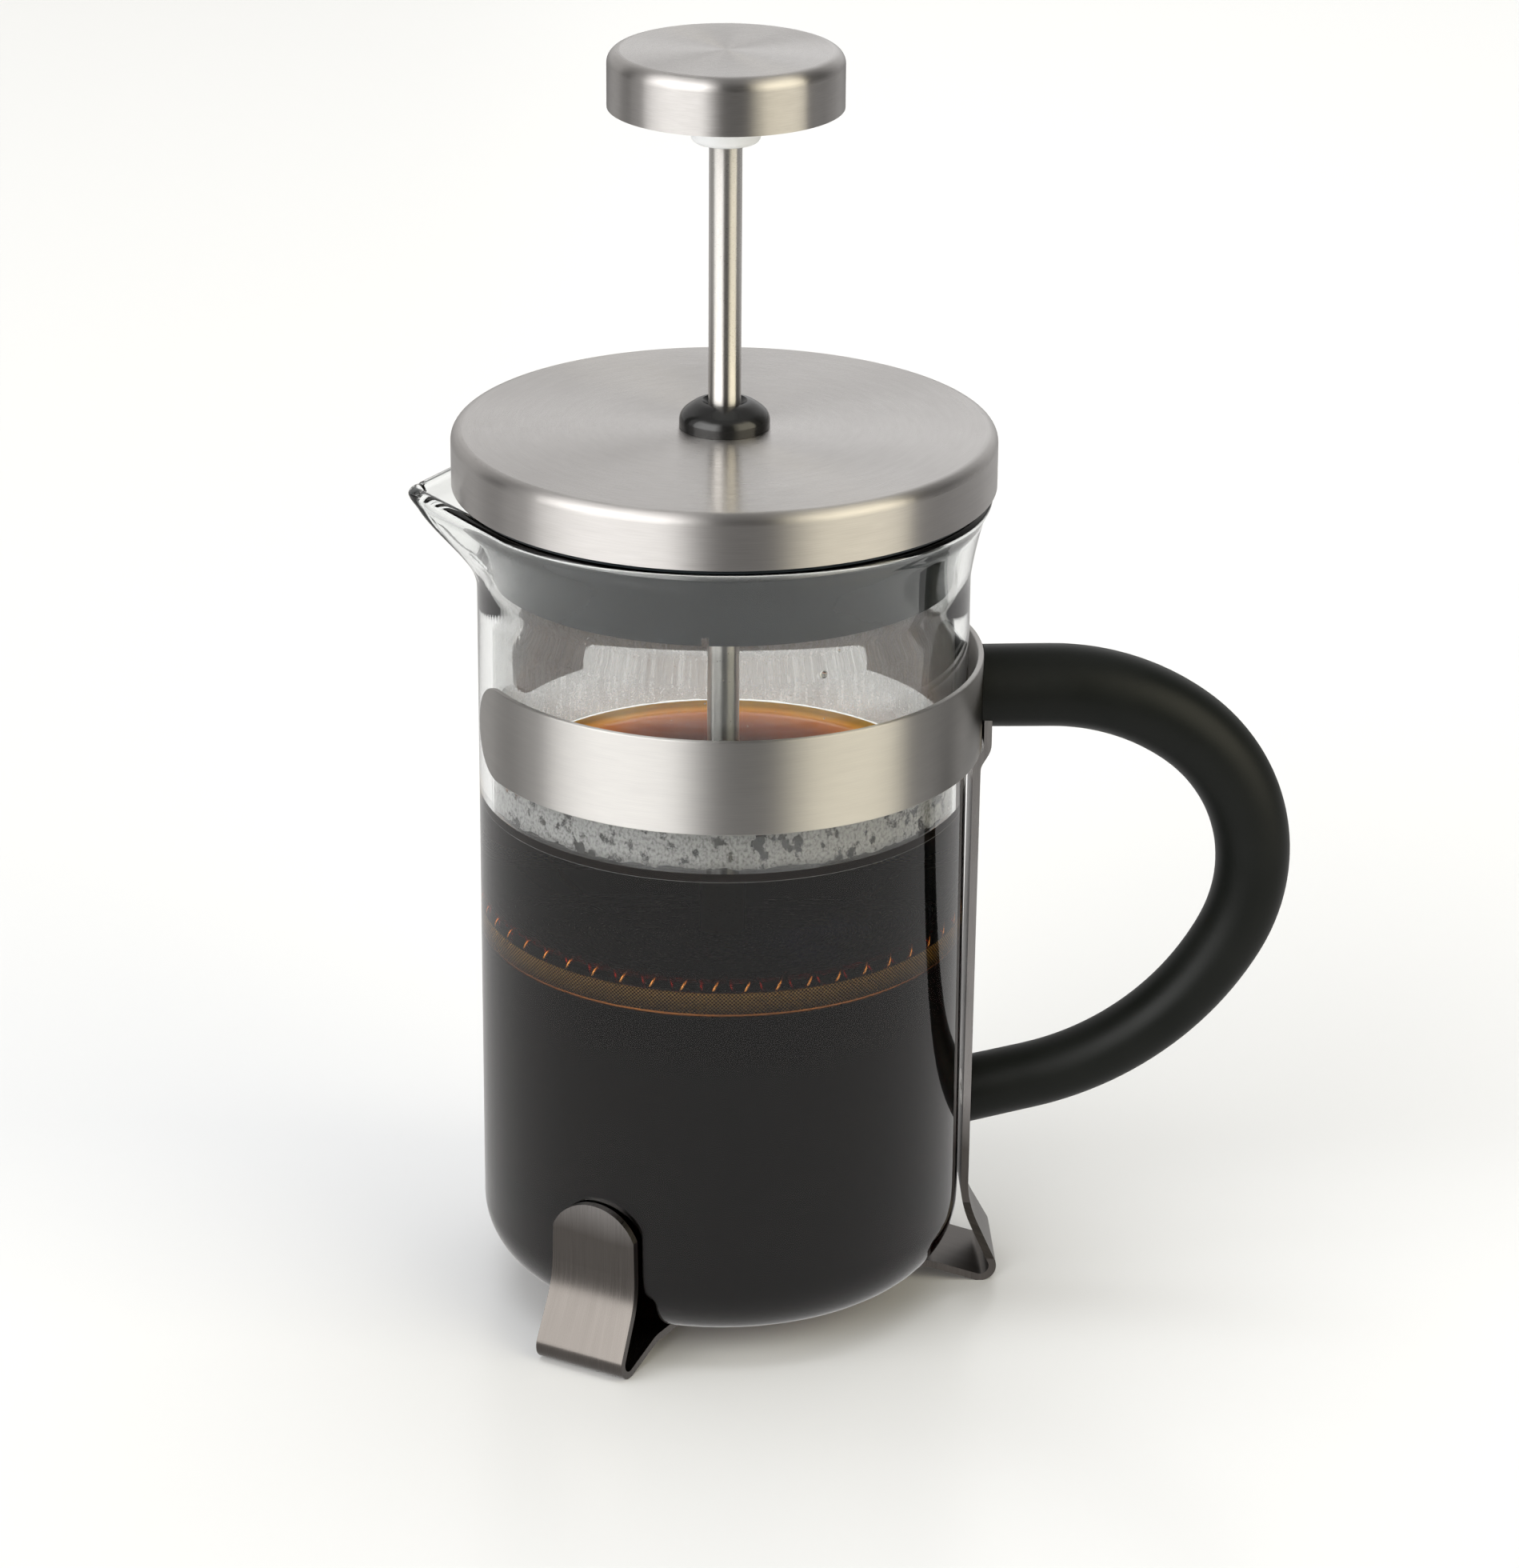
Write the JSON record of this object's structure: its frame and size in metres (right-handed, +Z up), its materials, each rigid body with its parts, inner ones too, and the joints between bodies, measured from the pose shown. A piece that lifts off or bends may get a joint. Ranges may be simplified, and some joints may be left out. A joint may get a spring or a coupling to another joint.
{
  "type": "french press",
  "caption": "French press: spouted glass beaker in a footed sheet-steel frame with a curved black side handle, a brushed lid and a sliding plunger with a mesh filter.",
  "frame": {"origin": "on the beaker's axis, in the plane that the three feet stand on", "axes": "+Z up along the beaker's axis and the plunger, +X towards the handle, -X towards the spout"},
  "size_m": [0.1273, 0.0768, 0.185],
  "materials": {
    "glass": "clear borosilicate glass",
    "brushed_steel": "brushed stainless steel",
    "frame_steel": "satin stainless sheet",
    "rod_steel": "ground stainless rod",
    "filter_steel": "stainless plate and mesh",
    "handle_black": "fine matt black polypropylene",
    "lid_black": "smooth black plastic",
    "knob_white": "smooth white plastic",
    "insert_brass": "plain brass",
    "screw_steel": "bright zinc-plated steel"
  },
  "bodies": {
    "frame": {"base_frame": "frame_steel", "holder_band": "brushed_steel", "handle": "handle_black", "handle_screws": "screw_steel", "handle_inserts": "insert_brass"},
    "beaker": {"beaker": "glass"},
    "bush": {"lid_bush": "lid_black", "bush_nut": "lid_black"},
    "lid": {"lid_cover": "brushed_steel", "lid_liner": "lid_black"},
    "plunger": {"plunger_rod": "rod_steel", "knob_cap": "brushed_steel", "knob_core": "knob_white", "knob_insert": "insert_brass", "spring_plate": "filter_steel", "stop_washer": "filter_steel", "filter_mesh": "filter_steel", "cross_plate": "filter_steel", "filter_nut": "filter_steel", "filter_spring": "filter_steel"}
  },
  "joints": [
    {"name": "beaker_lift", "type": "slide", "parent": "frame", "child": "beaker", "axis": [0, 0, 1], "range_m": [0, 0.11]},
    {"name": "lid_lift", "type": "slide", "parent": "beaker", "child": "bush", "axis": [0, 0, 1], "range_m": [0, 0.08]},
    {"name": "lid_turn", "type": "hinge", "parent": "bush", "child": "lid", "pos_m": [0, 0, 0.128], "axis": [0, 0, 1], "continuous": true},
    {"name": "plunger_slide", "type": "slide", "parent": "bush", "child": "plunger", "axis": [0, 0, 1], "range_m": [-0.037, 0.045]}
  ]
}
